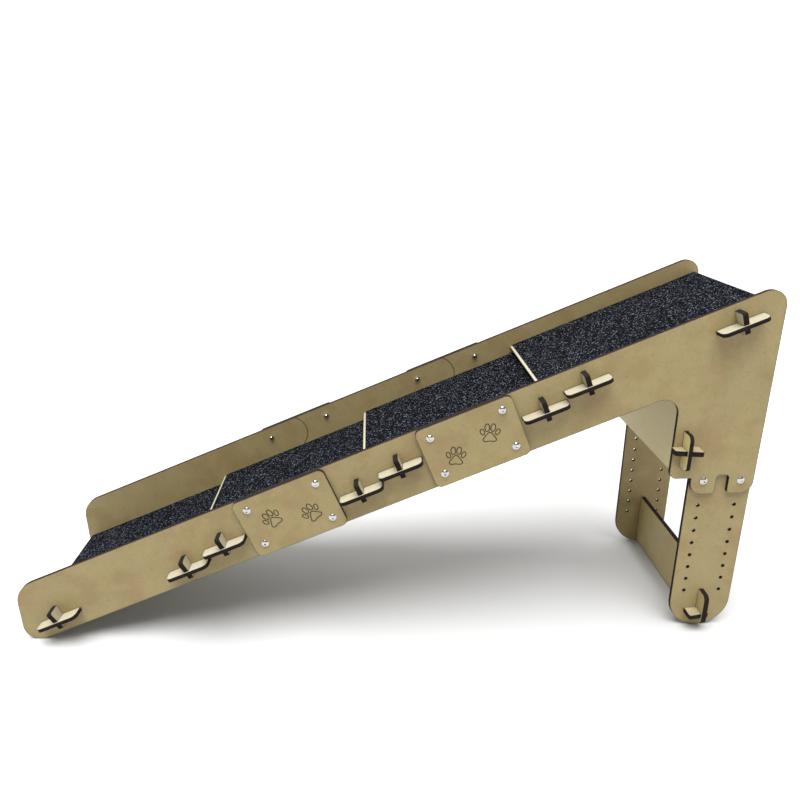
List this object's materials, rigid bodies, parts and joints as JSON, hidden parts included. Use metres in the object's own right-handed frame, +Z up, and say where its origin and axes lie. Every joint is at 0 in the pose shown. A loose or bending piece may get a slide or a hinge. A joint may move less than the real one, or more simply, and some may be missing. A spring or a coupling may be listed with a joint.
{
  "type": "pet ramp",
  "caption": "Pet ramp of slotted board: carpeted decks in steps between side rails, locked by wedged tenons, on legs that slide to set its height.",
  "frame": {"origin": "on the floor, under the middle of the whole ramp's box", "axes": "+X up the ramp from its low end, +Y towards its left side, +Z up"},
  "size_m": [1.1878, 0.334, 0.5866],
  "materials": {
    "board": "bare 6 mm fibreboard, laser cut, with burnt brown edges",
    "thick_board": "bare 8 mm fibreboard, laser cut, with burnt brown edges",
    "carpet": "charcoal needle-punched carpet with pale flecks",
    "plated_steel": "bright nickel plate"
  },
  "bodies": {
    "ramp": {"right_side_lower": "board", "right_side_middle": "board", "right_side_upper": "board", "left_side_lower": "board", "left_side_middle": "board", "left_side_upper": "board", "right_splice_lower": "board", "right_splice_upper": "board", "left_splice_lower": "board", "left_splice_upper": "board", "deck_1": "board", "deck_2": "board", "deck_3": "board", "deck_4": "board", "carpet_1": "carpet", "carpet_2": "carpet", "carpet_3": "carpet", "carpet_4": "carpet", "right_wedge_1": "thick_board", "right_wedge_2": "thick_board", "right_wedge_3": "thick_board", "right_wedge_4": "thick_board", "right_wedge_5": "thick_board", "right_wedge_6": "thick_board", "right_wedge_7": "thick_board", "right_wedge_8": "thick_board", "left_wedge_1": "thick_board", "left_wedge_2": "thick_board", "left_wedge_3": "thick_board", "left_wedge_4": "thick_board", "left_wedge_5": "thick_board", "left_wedge_6": "thick_board", "left_wedge_7": "thick_board", "left_wedge_8": "thick_board", "riser_board": "board", "right_riser_wedge": "thick_board", "left_riser_wedge": "thick_board", "right_splice_bolts": "plated_steel", "right_splice_nuts": "plated_steel", "left_splice_bolts": "plated_steel", "left_splice_nuts": "plated_steel", "right_leg_bolts": "plated_steel", "right_leg_nuts": "plated_steel", "left_leg_bolts": "plated_steel", "left_leg_nuts": "plated_steel"},
    "legs": {"right_leg": "board", "left_leg": "board", "leg_brace": "thick_board", "right_brace_wedge": "thick_board", "left_brace_wedge": "thick_board"}
  },
  "joints": [
    {"name": "leg_height", "type": "slide", "parent": "ramp", "child": "legs", "axis": [-0.0197, 0, 0.9998], "range_m": [0, 0.1401]}
  ]
}
